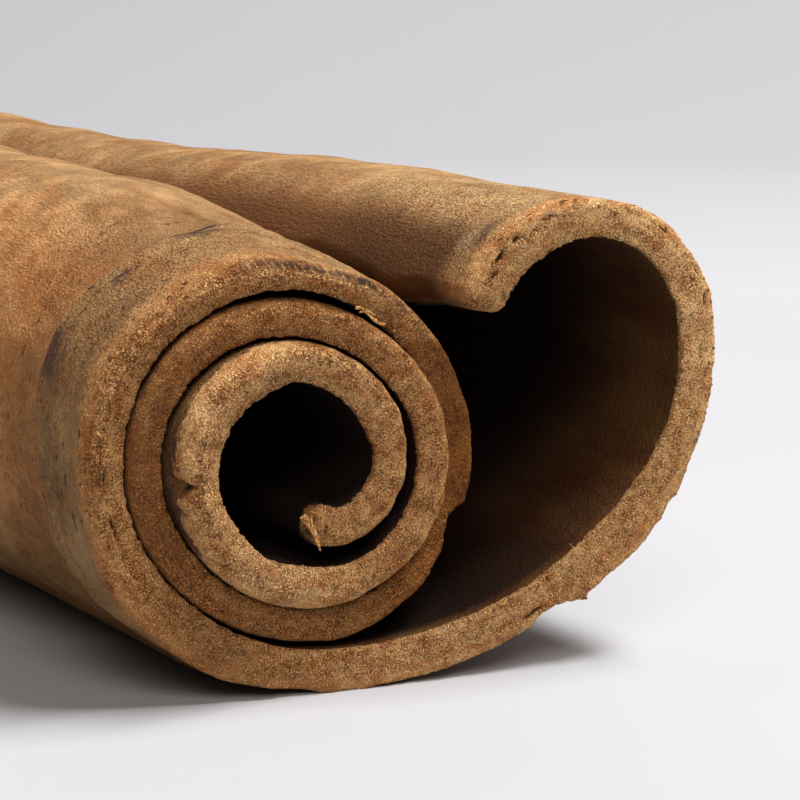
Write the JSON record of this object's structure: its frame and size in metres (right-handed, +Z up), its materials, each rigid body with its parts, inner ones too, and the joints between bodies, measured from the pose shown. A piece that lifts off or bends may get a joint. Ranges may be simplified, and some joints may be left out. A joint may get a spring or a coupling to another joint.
{
  "type": "cinnamon stick",
  "caption": "cinnamon stick: one sheet of dried bark, rolled into a tight scroll on one side and curled open with an inturned lip on the other",
  "frame": {"origin": "middle of the stick's footprint, on the surface that it lies on", "axes": "+Y along the stick, away from its shown cut end; +X from the tight roll to the open curl; +Z up"},
  "size_m": [0.0266, 0.0802, 0.0192],
  "materials": {
    "bark": "dry matte bark, orange brown with olive and purple-brown mottling, granular ochre cut ends"
  },
  "bodies": {
    "root": {"bark": "bark"}
  },
  "joints": []
}
